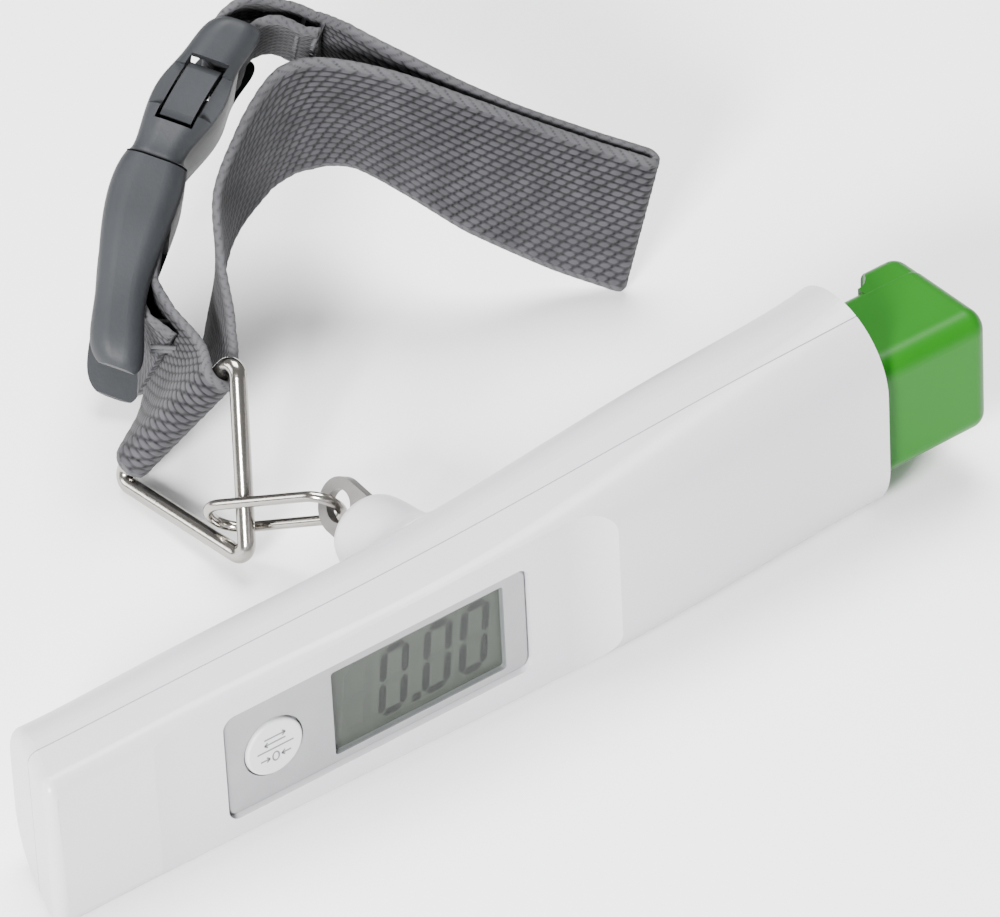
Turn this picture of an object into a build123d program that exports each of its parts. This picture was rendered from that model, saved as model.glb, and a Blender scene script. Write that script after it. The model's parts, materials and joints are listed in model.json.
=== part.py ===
from build123d import *
import math
import os

# A luggage scale with a hand pump, lying on its side. Units are millimetres.
#
# Housing frame: X runs along the housing from its closed end (0) to its rim, Y runs from the
# display face (0) to the back, Z is 0 at mid height. The housing lies on its side with its
# closed end lower than the rim, so HOUSING turns that frame by TILT about Y.
# Row frame: +X towards the knob, +Y out of the back, +Z up from the table.
# Everything is shifted at the end so that the origin is under the middle of the whole object.

# ---- driving dimensions ------------------------------------------------------------------
RIM_X = 147.0
TILT = 1.67
MID_X = 75.0
MID_HEIGHT = 16.0
WALL = 1.6
PARTING_Y = 7.4
SEAM = 0.2

BEZEL_LEFT, BEZEL_RIGHT, BEZEL_HALF = 30.2, 82.6, 9.4
BEZEL_FACE, BEZEL_BACK = 0.6, 1.6
GLASS_X, GLASS_LONG, GLASS_HIGH = 63.7, 29.8, 15.5
BUTTON_X, BUTTON_R, BUTTON_TRAVEL = 38.5, 4.75, 0.4

EYE_X = 75.6
EYE_HOLE_Y, EYE_HOLE_R, EYE_TIP_R, EYE_PLATE = 36.5, 2.5, 4.3, 1.5
EYE_TWIST = 30.0
SHANK_R, RUNNING = 2.5, 0.08
BEAM_FRONT, BEAM_BACK = 8.8, 14.4
BEAM_SCREWS = (50.0, 57.0)

KNOB_END, KNOB_FRONT, KNOB_TRAVEL = 167.0, 1.9, 9.5
RACK_Y, RACK_Z = 11.0, 3.9

LINK_WIRE, LINK_LONG, LINK_BEND = 0.8, 22.4, 3.55
RING_WIRE, RING_HIGH, RING_HALF, RING_CORNER = 1.35, 25.0, 16.2, 1.7

WEB_WIDE, WEB_THICK = 25.0, 1.4
BUCKLE_LONG, BUCKLE_SAG = 54.5, 4.8

HOUSING = Location((0, 0, MID_HEIGHT)) * Location((0, 0, 0), (0, -TILT, 0)) * Location((-MID_X, 0, 0))

parts = {}


# ---- helpers -----------------------------------------------------------------------------
def box(x0, x1, y0, y1, z0, z1):
    """A box from its six sides."""
    centre = Location(((x0 + x1) / 2, (y0 + y1) / 2, (z0 + z1) / 2))
    return centre * Box(x1 - x0, y1 - y0, z1 - z0)


def rod_y(x, z, radius, y0, y1):
    """A round rod along Y."""
    return Location((x, (y0 + y1) / 2, z), (90, 0, 0)) * Cylinder(radius, y1 - y0)


def rod_x(y, z, radius, x0, x1):
    """A round rod along X."""
    return Location(((x0 + x1) / 2, y, z), (0, 90, 0)) * Cylinder(radius, x1 - x0)


def rod_z(x, y, radius, z0, z1):
    """A round rod along Z."""
    return Location((x, y, (z0 + z1) / 2)) * Cylinder(radius, z1 - z0)


def keep(name, shape, place=HOUSING):
    """Puts a finished sub-part into the row frame under its name."""
    parts[name] = place * shape


def between(value, stops):
    """Smooth value from a short list of (position, value) stops."""
    last = len(stops) - 1
    k = max(i for i in range(last) if value >= stops[i][0] or i == 0)
    (x0, v0), (x1, v1) = stops[k], stops[k + 1]
    slope = (v1 - v0) / (x1 - x0)
    before = (v1 - stops[k - 1][1]) / (x1 - stops[k - 1][0]) if k else slope
    after = (stops[k + 2][1] - v0) / (stops[k + 2][0] - x0) if k + 1 < last else slope
    t, run = (value - x0) / (x1 - x0), x1 - x0
    start = v0 * (2 * t**3 - 3 * t**2 + 1) + before * run * (t**3 - 2 * t**2 + t)
    return start + v1 * (3 * t**2 - 2 * t**3) + after * run * (t**3 - t**2)


# ---- housing -----------------------------------------------------------------------------
FRONT_STOPS = [(0, -0.5), (30, -0.5), (97, -2.0), (116, -1.3), (RIM_X, 0.0)]
DEPTH_STOPS = [(0, 18.0), (75, 18.6), (97, 19.9), (RIM_X, 23.1)]
HALF_STOPS = [(0, 13.7), (60, 14.0), (80, 14.5), (97, 15.4), (RIM_X, 18.1)]
FRONT_ROUND_STOPS = [(0, 2.6), (60, 2.8), (80, 3.6), (97, 5.8), (RIM_X, 11.2)]
BACK_ROUND_STOPS = [(0, 8.6), (97, 9.0), (RIM_X, 11.2)]
END_LEAN = 17.0
LEAN_FADES_AT = 52.0


def housing_section(x, inset):
    """Closed outline of the housing at x, moved inward by inset."""
    lean = math.radians(END_LEAN * max(0.0, 1 - x / LEAN_FADES_AT))
    y0 = between(x, FRONT_STOPS) + inset
    y1 = between(x, DEPTH_STOPS) - inset
    half = between(x, HALF_STOPS) - inset
    front = max(0.8, between(x, FRONT_ROUND_STOPS) - inset)
    back = between(x, BACK_ROUND_STOPS) - inset
    stretch = 1 / math.cos(lean)

    def at(y, z):
        run = (y - y0) * stretch
        return Vector(x + run * math.sin(lean), y0 + run * math.cos(lean), z)

    def corner(y_centre, z_centre, radius, start, end):
        turns = [math.radians(a) for a in (start, (start + end) / 2, end)]
        ring = [at(y_centre + radius * math.cos(a), z_centre + radius * math.sin(a)) for a in turns]
        return Edge.make_three_point_arc(*ring)

    zf = half - front
    zb = half - back
    arcs = [
        corner(y0 + front, zf, front, 180, 90),
        corner(y1 - back, zb, back, 90, 0),
        corner(y1 - back, -zb, back, 0, -90),
        corner(y0 + front, -zf, front, -90, -180),
    ]
    edges = []
    for arc, following in zip(arcs, arcs[1:] + arcs[:1]):
        edges.append(arc)
        edges.append(Edge.make_line(arc @ 1, following @ 0))
    return Wire(edges)


def housing_form(inset, start, end):
    """The housing's smooth outer form, moved inward by inset, between two stations."""
    stations = [start, 22, 45, 76, 98, 122, end]
    return Solid.make_loft([housing_section(x, inset) for x in stations])


def display_recess():
    """Cutter for the flat display area, with a soft end at the left and a curved step at the right."""
    left, right, deep = 25.0, 90.0, 8.0
    soft, step = 60.0, 14.0
    run_left, run_right = 11.0, 11.0
    with BuildSketch() as sketch:
        with BuildLine():
            rise_left = soft - math.sqrt(soft**2 - run_left**2)
            rise_right = step - math.sqrt(step**2 - run_right**2)
            RadiusArc((left - run_left, -rise_left), (left, 0), soft)
            Line((left, 0), (right, 0))
            RadiusArc((right, 0), (right + run_right, -rise_right), step)
            Polyline(
                (right + run_right, -rise_right),
                (right + run_right, -deep),
                (left - run_left, -deep),
                (left - run_left, -rise_left),
            )
        make_face()
    return Location((0, 0, -25)) * extrude(sketch.sketch, 50)


def boss_form():
    """Round boss on the back that the eye comes out of, flared where it meets the housing."""
    profile = Polyline((0, 12), (11.5, 12), (11.5, 16.5))
    flare = Spline((11.5, 16.5), (8.4, 20.5), (7.0, 25.0), (6.0, 29.8), tangents=((-0.6, 1), (-0.35, 1)))
    top = TangentArc((6.0, 29.8), (4.4, 31.5), tangent=(-0.35, 1))
    close = Polyline((4.4, 31.5), (0, 31.5), (0, 12))
    face = make_face(Curve() + [profile, flare, top, close])
    return Location((EYE_X, 0, 0)) * revolve(face, Axis.Y)


SCREWS = [(14.0, 7.0), (14.0, -7.0), (86.6, 9.0), (86.6, -9.0)]
POST_R, SCREW_R = 2.6, 1.1
POST_END, HEAD_SEAT = 8.4, 14.6


def shell_blank():
    """Hollow housing with the boss, before it is split."""
    outer = housing_form(0, 0, RIM_X)
    end_edges = outer.faces().sort_by(Axis.X)[0].edges()
    outer = fillet(end_edges, 1.6)
    outer = outer - display_recess()
    return outer


def knob_section(inset, end_inset):
    """Outline of the knob seen from its end: flat sides that draw in towards the back."""
    front, back = KNOB_FRONT + inset, 20.4 - inset
    wide, narrow = 11.2 - inset, 9.2 - inset
    face = Polyline((front, -wide), (back, -narrow), (back, narrow), (front, wide), close=True)
    face = make_face(face)
    face = fillet(face.vertices(), 3.2 - end_inset)
    return face


def on_x_plane(face, x):
    """Stands a sketch drawn in (Y, Z) up at x."""
    return Plane(origin=(x, 0, 0), x_dir=(0, 1, 0), z_dir=(1, 0, 0)) * face


def knob_hole(gap):
    """The space the knob's neck slides in, from its pushed place out through the rim."""
    inner_end = 138.0 - KNOB_TRAVEL - 1.0
    return extrude(on_x_plane(knob_section(-gap, 0), inner_end), RIM_X + 4 - inner_end)


def shells():
    """Front and rear shell, split at the parting plane with a fine seam and an inner tongue."""
    outer = shell_blank()
    cut = PARTING_Y
    big = 60
    hollow = housing_form(WALL, 1.9, RIM_X - WALL)
    hollow = hollow - box(-10, 101, -big, 1.45, -big, big)
    boss = boss_form()
    front_half = box(-10, RIM_X + 10, -big, cut - SEAM / 2, -big, big)
    rear_half = box(-10, RIM_X + 10, cut + SEAM / 2, big, -big, big)
    tongue_zone = box(-10, RIM_X + 10, cut - 1.5, cut + 1.3, -big, big)
    tongue = (housing_form(WALL * 0.55, 1.2, RIM_X - WALL * 0.55) - hollow) & tongue_zone
    groove_zone = box(-10, RIM_X + 10, cut - 1.0, cut + 1.4, -big, big)
    groove = housing_form(WALL * 0.5, 1.1, RIM_X - WALL * 0.5) & groove_zone

    front = (outer - hollow) & front_half
    front = front + tongue
    rear = ((outer + boss) - hollow) & rear_half
    rear = rear - groove

    hole = knob_hole(0.25)
    front = front - hole
    rear = rear - hole

    edge = BEZEL_HALF + 0.2
    seat = box(BEZEL_LEFT - 0.2, BEZEL_RIGHT + 0.2, -4, BEZEL_BACK + 0.05, -edge, edge)
    seat = fillet(seat.edges().filter_by(Axis.Y), 2.0)
    backing = box(BEZEL_LEFT - 2, BEZEL_RIGHT + 2, 1.0, 2.4, -BEZEL_HALF - 1.6, BEZEL_HALF + 1.6)
    window = box(31.6, 81.2, -4, 8, -8.6, 8.6)
    front = (front + backing) - seat - window

    for x, z in SCREWS:
        front = front + rod_y(x, z, POST_R, 1.2, POST_END - 0.1) - rod_y(x, z, SCREW_R, 3.0, POST_END)
        rear = rear + (rod_y(x, z, POST_R, POST_END + 0.1, 18.4) & outer)
        rear = rear - rod_y(x, z, SCREW_R + 0.15, POST_END, 18) - rod_y(x, z, 2.2, HEAD_SEAT, 24)
    for x, z in ((106.0, 5.5), (121.0, 5.5), (121.0, -6.0)):
        front = front + (rod_y(x, z, 1.6, -3, PLATE_FRONT[0]) & outer)
        rear = rear + (rod_y(x, z, 1.6, PLATE_BACK[1], 30) & outer)
    for x in BEAM_SCREWS:
        rear = rear + rod_y(x, 0, 3.4, BEAM_BACK, 17.6) - rod_y(x, 0, 1.5, BEAM_BACK - 1, 17.0)
    rear = rear - rod_y(EYE_X, 0, SHANK_R + RUNNING, 10, 40)
    return front, rear


def shell_screws():
    """Four self-tapping screws, heads in the back's counterbores."""
    made = []
    for x, z in SCREWS:
        shank = rod_y(x, z, SCREW_R, 4.0, HEAD_SEAT)
        head = rod_y(x, z, 2.0, HEAD_SEAT, HEAD_SEAT + 1.4)
        slot = box(x - 1.3, x + 1.3, HEAD_SEAT + 0.7, HEAD_SEAT + 2, z - 0.25, z + 0.25)
        cross = box(x - 0.25, x + 0.25, HEAD_SEAT + 0.7, HEAD_SEAT + 2, z - 1.3, z + 1.3)
        made.append(shank + head - slot - cross)
    return Compound(children=made)


# ---- display and board --------------------------------------------------------------------
def bezel():
    """Silver panel with a window for the display and a hole for the button."""
    plate = box(BEZEL_LEFT, BEZEL_RIGHT, BEZEL_FACE, BEZEL_BACK, -BEZEL_HALF, BEZEL_HALF)
    plate = fillet(plate.edges().filter_by(Axis.Y), 1.9)
    plate = chamfer(plate.faces().sort_by(Axis.Y)[0].edges(), 0.35)
    opening = box(GLASS_X - GLASS_LONG / 2, GLASS_X + GLASS_LONG / 2, 0, 3, -GLASS_HIGH / 2, GLASS_HIGH / 2)
    opening = fillet(opening.edges().filter_by(Axis.Y), 0.5)
    return plate - opening - rod_y(BUTTON_X, 0, BUTTON_R + 0.3, 0, 3)


def window_pane():
    """Clear pane that fills the panel's opening."""
    gap = 0.05
    half_long, half_high = GLASS_LONG / 2 - gap, GLASS_HIGH / 2 - gap
    pane = box(GLASS_X - half_long, GLASS_X + half_long, 0.85, BEZEL_BACK, -half_high, half_high)
    return fillet(pane.edges().filter_by(Axis.Y), 0.45)


def lcd():
    """Display glass: two sheets, the front one shorter along one edge."""
    back = box(GLASS_X - 16.6, GLASS_X + 16.6, 2.55, 3.5, -8.3, 8.3)
    front = box(GLASS_X - 16.6, GLASS_X + 16.6, 1.65, 2.55, -8.3, 7.9)
    return back + front


BOARD_FRONT, BOARD_BACK = 4.7, 5.5


def board():
    """Circuit board, notched at the corners for the screw posts."""
    plate = box(27.0, 81.4, BOARD_FRONT, BOARD_BACK, -10.4, 10.4)
    plate = fillet(plate.edges().filter_by(Axis.Y), 1.0)
    for z in (-8.6, 8.6):
        plate = plate - rod_y(29.4, z, 0.8, 4, 6)
    return plate


def board_parts():
    """Chip and small parts on the back of the board."""
    chip = box(48.5, 55.5, BOARD_BACK, BOARD_BACK + 1.2, -9.4, -3.6)
    crystal = box(58.0, 62.6, BOARD_BACK, BOARD_BACK + 1.5, -8.6, -6.8)
    small = [chip, crystal]
    for column in range(4):
        for row in range(2):
            x = 47.0 + 3.4 * column
            z = 6.6 + 2.0 * row
            small.append(box(x, x + 1.6, BOARD_BACK, BOARD_BACK + 0.6, z - 0.4, z + 0.4))
    return Compound(children=small)


def zebra_strips():
    """Two rubber contact strips between the display glass and the board."""
    sides = [box(GLASS_X - 15, GLASS_X + 15, 3.5, BOARD_FRONT, z - 0.8, z + 0.8) for z in (-7.0, 7.0)]
    return Compound(children=sides)


def capacitor():
    """Round storage capacitor with its two leads, lying behind the board."""
    can = rod_x(10.3, -4.6, 3.9, 27.5, 42.0)
    can = fillet(can.edges(), 0.6)
    leads = [rod_x(10.3, z, 0.3, 42.0, 44.0) + rod_y(43.7, z, 0.3, BOARD_BACK, 10.6) for z in (-6.2, -3.0)]
    return can + leads[0] + leads[1]


def tact_switch():
    """Switch body on the board under the button."""
    body = box(BUTTON_X - 2.4, BUTTON_X + 2.4, 2.9, BOARD_FRONT, -2.4, 2.4)
    return body - rod_y(BUTTON_X, 0, 1.25, 2, 4.35)


def button():
    """Round button with a slightly domed cap and a flange that keeps it behind the panel."""
    cap = rod_y(BUTTON_X, 0, BUTTON_R, 0.1, 1.7)
    cap = fillet(cap.edges().sort_by(Axis.Y)[0], 0.4)
    flange = rod_y(BUTTON_X, 0, BUTTON_R + 0.9, 1.7, 2.2)
    return cap + flange


def plunger():
    """The switch's plunger, which the button carries."""
    return rod_y(BUTTON_X, 0, 1.15, 2.2, 3.8)


# ---- load path ---------------------------------------------------------------------------
def load_beam():
    """Bending beam: fixed at the left, pulled by the eye at the right, weak in the middle."""
    beam = box(46.0, 80.6, BEAM_FRONT, BEAM_BACK, -5.5, 5.5)
    beam = fillet(beam.edges().filter_by(Axis.Y), 1.0)
    middle = (BEAM_FRONT + BEAM_BACK) / 2
    holes = rod_z(63.0, middle, 1.9, -8, 8) + rod_z(68.0, middle, 1.9, -8, 8)
    slot = box(63.0, 68.0, middle - 0.5, middle + 0.5, -8, 8)
    beam = beam - holes - slot - rod_y(EYE_X, 0, SHANK_R + RUNNING, 5, 20)
    for x in BEAM_SCREWS:
        beam = beam - rod_y(x, 0, 1.6, 5, 20)
    return beam


def strain_gauges():
    """Four foil gauges over the beam's two thin places."""
    pads = []
    for x in (63.0, 68.0):
        pads.append(box(x - 1.6, x + 1.6, BEAM_FRONT - 0.15, BEAM_FRONT, -2.2, 2.2))
        pads.append(box(x - 1.6, x + 1.6, BEAM_BACK, BEAM_BACK + 0.15, -2.2, 2.2))
    return Compound(children=pads)


def beam_screws():
    """Two screws that hold the beam's fixed end to the rear shell."""
    made = []
    for x in BEAM_SCREWS:
        head = rod_y(x, 0, 2.8, BEAM_FRONT - 1.8, BEAM_FRONT)
        drive = rod_y(x, 0, 1.2, BEAM_FRONT - 2, BEAM_FRONT - 0.8)
        made.append(head - drive + rod_y(x, 0, 1.5, BEAM_FRONT - 0.8, 16.8))
    return Compound(children=made)


def eye_bolt():
    """Eye: a round shank, flattened outside the boss and pierced for the link."""
    plate = box(-EYE_PLATE / 2, EYE_PLATE / 2, 31.7, EYE_HOLE_Y, -EYE_TIP_R, EYE_TIP_R)
    plate = plate + rod_x(EYE_HOLE_Y, 0, EYE_TIP_R, -EYE_PLATE / 2, EYE_PLATE / 2)
    plate = plate - rod_x(EYE_HOLE_Y, 0, EYE_HOLE_R, -2, 2)
    shank = rod_y(0, 0, SHANK_R, 5.9, 32.6)
    return Location((EYE_X, 0, 0), (0, EYE_TWIST, 0)) * (plate + shank)


def eye_nut():
    """Thin hexagon nut on the shank's inner end."""
    flat = extrude(RegularPolygon(4.4, 6), 2.3)
    nut = Location((EYE_X, 8.2, 0), (90, 0, 0)) * flat
    return nut - rod_y(EYE_X, 0, SHANK_R, 0, 20)


def thrust_washer():
    """Washer between the nut and the beam, which lets the eye turn."""
    ring = rod_y(EYE_X, 0, 4.6, 8.2, BEAM_FRONT)
    return ring - rod_y(EYE_X, 0, SHANK_R + RUNNING, 0, 20)


# ---- pump and generator ------------------------------------------------------------------
GEAR_X, GEAR_Z = 115.0, -3.8
PINION_TEETH, PINION_MODULE = 12, 0.8
WHEEL_TEETH, WHEEL_MODULE = 36, 0.5
IDLER_PINION_TEETH = 10
IDLER_TEETH, IDLER_MODULE = 26, 0.4
ROTOR_TEETH = 10
IDLER_ANGLE = 192.0
ROTOR_ANGLE = 180.0
AXLE_R = 0.75
PLATE_FRONT, PLATE_BACK = (1.6, 2.6), (16.2, 17.2)

WHEEL_REACH = WHEEL_MODULE * (WHEEL_TEETH + IDLER_PINION_TEETH) / 2
IDLER_REACH = IDLER_MODULE * (IDLER_TEETH + ROTOR_TEETH) / 2
IDLER_X = GEAR_X + WHEEL_REACH * math.cos(math.radians(IDLER_ANGLE))
IDLER_Z = GEAR_Z + WHEEL_REACH * math.sin(math.radians(IDLER_ANGLE))
ROTOR_X = IDLER_X + IDLER_REACH * math.cos(math.radians(ROTOR_ANGLE))
ROTOR_Z = IDLER_Z + IDLER_REACH * math.sin(math.radians(ROTOR_ANGLE))
AXLES = [(GEAR_X, GEAR_Z), (IDLER_X, IDLER_Z), (ROTOR_X, ROTOR_Z)]


def gear(x, z, teeth, module, y0, y1, first_tooth):
    """A spur gear about Y. first_tooth is the angle of one tooth's middle, in the XZ plane."""
    pitch = module * teeth / 2
    tip, root = pitch + module, pitch - 1.25 * module
    step = 2 * math.pi / teeth
    outline = []
    for k in range(teeth):
        middle = math.radians(first_tooth) + k * step
        shape = [(root, -0.34), (pitch, -0.225), (tip, -0.1), (tip, 0.1), (pitch, 0.225), (root, 0.34)]
        for radius, share in shape:
            angle = middle + share * step
            outline.append((radius * math.cos(angle), radius * math.sin(angle)))
    face = make_face(Polyline(*outline, close=True))
    flat = extrude(face, y1 - y0)
    return Plane(origin=(x, y1, z), x_dir=(1, 0, 0), z_dir=(0, -1, 0)) * flat


def hub_hole(x, z):
    """Bore that runs on an axle."""
    return rod_y(x, z, AXLE_R + 0.05, 0, 20)


def drive_gear():
    """Pinion that the rack turns, in one piece with the first wheel."""
    pinion = gear(GEAR_X, GEAR_Z, PINION_TEETH, PINION_MODULE, 8.8, 13.4, 90.0)
    wheel = gear(GEAR_X, GEAR_Z, WHEEL_TEETH, WHEEL_MODULE, 13.4, 15.2, IDLER_ANGLE)
    hub = rod_y(GEAR_X, GEAR_Z, 1.8, 2.9, 15.9)
    return pinion + wheel + hub - hub_hole(GEAR_X, GEAR_Z)


def idler_gear():
    """Second step: small pinion on the first wheel, larger wheel on the rotor."""
    turned = IDLER_ANGLE + 180 + 180.0 / IDLER_PINION_TEETH
    pinion = gear(IDLER_X, IDLER_Z, IDLER_PINION_TEETH, WHEEL_MODULE, 13.3, 15.3, turned)
    wheel = gear(IDLER_X, IDLER_Z, IDLER_TEETH, IDLER_MODULE, 10.8, 12.4, ROTOR_ANGLE)
    hub = rod_y(IDLER_X, IDLER_Z, 1.5, 8.8, 15.9)
    return pinion + wheel + hub - hub_hole(IDLER_X, IDLER_Z)


ROTOR_R, COIL_OUT = 4.4, 6.2


def rotor():
    """Round magnet with its pinion, which spins inside the coil."""
    half_tooth = 180.0 / ROTOR_TEETH
    pinion = gear(ROTOR_X, ROTOR_Z, ROTOR_TEETH, IDLER_MODULE, 9.0, 12.6, ROTOR_ANGLE + 180 + half_tooth)
    magnet = rod_y(ROTOR_X, ROTOR_Z, ROTOR_R, 4.2, 8.2)
    hub = rod_y(ROTOR_X, ROTOR_Z, 1.3, 2.9, 15.9)
    return pinion + magnet + hub - hub_hole(ROTOR_X, ROTOR_Z)


def stator():
    """Two claw plates above and below the coil."""
    rings = []
    inside = rod_y(ROTOR_X, ROTOR_Z, ROTOR_R + 0.4, 0, 12)
    for y0 in (3.4, 8.0):
        rings.append(rod_y(ROTOR_X, ROTOR_Z, COIL_OUT, y0, y0 + 0.6) - inside)
    return Compound(children=rings)


def coil():
    """Copper winding round the magnet."""
    winding = rod_y(ROTOR_X, ROTOR_Z, COIL_OUT - 0.2, 4.0, 8.0)
    return winding - rod_y(ROTOR_X, ROTOR_Z, ROTOR_R + 0.4, 3, 10)


def gear_frame():
    """Two plates that hold the axles, joined by the spring's seat and a pillar."""
    left, right = ROTOR_X - 5.6, 127.0
    low, high = -8.4, 8.4
    front = box(left, right, PLATE_FRONT[0], PLATE_FRONT[1], low, high)
    back = box(left, right, PLATE_BACK[0], PLATE_BACK[1], low, high)
    corners = fillet(front.edges().filter_by(Axis.Y), 2.0) + fillet(back.edges().filter_by(Axis.Y), 2.0)
    seat = box(126.0, 127.0, PLATE_FRONT[1], PLATE_BACK[0], 0.2, 9.6)
    pillar = rod_y(92.6, 6.4, 1.2, PLATE_FRONT[1], PLATE_BACK[0])
    frame = corners + seat + pillar
    frame = frame - box(125, 128, RACK_Y - 2.3, RACK_Y + 2.3, RACK_Z - 2.6, RACK_Z + 2.6)
    for x, z in AXLES:
        frame = frame - rod_y(x, z, AXLE_R, 0, 20)
    return frame


def gear_axles():
    """Three fixed pins that the gears run on."""
    pins = [rod_y(x, z, AXLE_R, PLATE_FRONT[0] + 0.2, PLATE_BACK[1] - 0.2) for x, z in AXLES]
    pins[1] = pins[1] + rod_y(IDLER_X, IDLER_Z, 0.92, PLATE_FRONT[1], 8.75)
    return Compound(children=pins)


RACK_PITCH_Z = GEAR_Z + PINION_MODULE * PINION_TEETH / 2
KNOB_BOSS_X = 150.0


def rack():
    """Toothed rod on the knob. Its teeth face down onto the pinion."""
    pitch_length = math.pi * PINION_MODULE
    tip, root = RACK_PITCH_Z - PINION_MODULE, RACK_PITCH_Z + 1.25 * PINION_MODULE
    first = GEAR_X + pitch_length / 2 - 2 * pitch_length
    flank = [(0.34, root), (0.225, RACK_PITCH_Z), (0.1, tip)]
    tooth = [(-share, z) for share, z in flank] + flank[::-1]
    outline = [(first - 2.0, RACK_Z + 2.2), (first - 2.0, root)]
    for k in range(6):
        middle = first + k * pitch_length
        outline += [(middle + share * pitch_length, z) for share, z in tooth]
    outline += [(KNOB_BOSS_X, root), (KNOB_BOSS_X, RACK_Z + 2.2)]
    face = make_face(Polyline(*outline, close=True))
    bar = extrude(face, 4.0)
    bar = Plane(origin=(0, RACK_Y + 2.0, 0), x_dir=(1, 0, 0), z_dir=(0, -1, 0)) * bar
    tenon = rod_x(RACK_Y, RACK_Z, 1.5, KNOB_BOSS_X, KNOB_BOSS_X + 6)
    return bar + tenon - rod_z(KNOB_BOSS_X + 3, RACK_Y, 0.8, 0, 12)


def rack_pin():
    """Cross pin that holds the rack in the knob."""
    return rod_z(KNOB_BOSS_X + 3, RACK_Y, 0.8, RACK_Z - 3.4, RACK_Z + 3.4)


def return_spring():
    """Coil spring round the rack, between the frame and the knob."""
    length, wire, radius = KNOB_BOSS_X - 127.0 - 0.9, 0.4, 3.75
    path = Helix(pitch=length / 6, height=length, radius=radius)
    start = path @ 0
    tangent = path % 0
    ring = Plane(origin=start, z_dir=tangent) * Circle(wire)
    coil_solid = sweep(ring, path=path, is_frenet=True)
    return Location((127.45, RACK_Y, RACK_Z), (0, 90, 0)) * coil_solid


def knob():
    """Green push knob: a hollow block whose back edge stands out as a lip."""
    neck = extrude(on_x_plane(knob_section(0, 0), 138.0), KNOB_END - 138.0)
    head_back = 24.4
    head_face = Polyline(
        (KNOB_FRONT, -11.2), (head_back, -8.6), (head_back, 8.6), (KNOB_FRONT, 11.2), close=True
    )
    head_face = fillet(make_face(head_face).vertices(), 3.2)
    head = extrude(on_x_plane(head_face, 138.0), KNOB_END - 138.0)
    with BuildSketch() as lip:
        with BuildLine():
            far = head_back + 1
            Polyline((KNOB_END, 0), (KNOB_END, far), (160.4, far), (160.4, head_back - 0.6))
            Spline((160.4, head_back - 0.6), (159.1, 21.4), (156.8, 20.2), tangents=((-0.35, -1), (-1, 0)))
            Polyline((156.8, 20.2), (156.8, 0), (KNOB_END, 0))
        make_face()
    lip_bar = Location((0, 0, -20)) * extrude(lip.sketch, 40)
    body = neck + (head & lip_bar)
    body = fillet(body.faces().sort_by(Axis.X)[-1].edges(), 2.6)
    inside = extrude(on_x_plane(knob_section(1.8, 1.6), 137.0), 164.8 - 137.0)
    body = body - inside
    boss = rod_x(RACK_Y, RACK_Z, 3.0, KNOB_BOSS_X, 166.0) & (neck + head)
    rib = box(KNOB_BOSS_X, 166.0, RACK_Y - 0.8, RACK_Y + 0.8, -9.0, RACK_Z) & neck
    seat = rod_x(RACK_Y, RACK_Z, 4.6, KNOB_BOSS_X, KNOB_BOSS_X + 2) & neck
    body = body + boss + rib + seat
    body = body - rod_x(RACK_Y, RACK_Z, 1.5, KNOB_BOSS_X - 1, KNOB_BOSS_X + 6)
    return body - rod_z(KNOB_BOSS_X + 3, RACK_Y, 0.8, RACK_Z - 3.4, RACK_Z + 3.4)


def wire_leads():
    """Thin leads from the gauges and the coil to the board."""
    from_gauges = [(62.0, BEAM_FRONT - 0.6, 2.0), (60.0, 7.0, 4.5), (57.0, 6.6, 5.2), (54.0, BOARD_BACK, 5.0)]
    coil_end = (ROTOR_X - 6.9, 6.0, ROTOR_Z + 0.5)
    from_coil = [coil_end, (86.0, 7.6, -3.0), (82.0, 7.4, 1.0), (79.6, BOARD_BACK, 7.5)]
    made = []
    for points, bend in ((from_gauges, 0.9), (from_coil, 1.2)):
        path = FilletPolyline(*points, radius=bend)
        ring = Plane(origin=path @ 0, z_dir=path % 0) * Circle(0.35)
        lead = sweep(ring, path=path, transition=Transition.ROUND)
        made.append(lead - box(40, 90, BOARD_BACK - 3, BOARD_BACK + 0.02, -14, 14))
    return Compound(children=made)


# ---- rings -------------------------------------------------------------------------------
LINK_START, LINK_RUN, LINK_ACROSS = (0.32, 37.03, 15.8), (-0.453, 0.795, -0.404), (0.562, -0.097, -0.822)
RING_TIP, RING_RUN, RING_ACROSS = (-9.2, 46.89, 3.62), (0.131, 0.894, 0.429), (0.385, -0.445, 0.809)


def wire_loop(path, radius):
    """Round wire bent along a closed path."""
    section = Plane(origin=path @ 0, z_dir=path % 0) * Circle(radius)
    return sweep(section, path=path)


def link_ring():
    """Straight-sided oval link, drawn from its near end along +X."""
    half = LINK_LONG / 2
    outline = Location((half, 0)) * SlotOverall(LINK_LONG, 2 * LINK_BEND)
    return wire_loop(outline.wire(), LINK_WIRE)


def triangle_ring():
    """Triangular ring, drawn with its sharp corner at the origin and its strap side across +X."""
    corners = ((0, 0), (RING_HIGH, -RING_HALF), (RING_HIGH, RING_HALF))
    return wire_loop(FilletPolyline(*corners, radius=RING_CORNER, close=True), RING_WIRE)


def plane_from(origin, run, across):
    """Plane whose X is run and whose Y is as near to across as possible."""
    run = Vector(*run).normalized()
    normal = run.cross(Vector(*across)).normalized()
    return Plane(origin=origin, x_dir=run, z_dir=normal)


LINK_PLACE = plane_from(LINK_START, LINK_RUN, LINK_ACROSS)
RING_PLACE = plane_from(RING_TIP, RING_RUN, RING_ACROSS)


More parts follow.
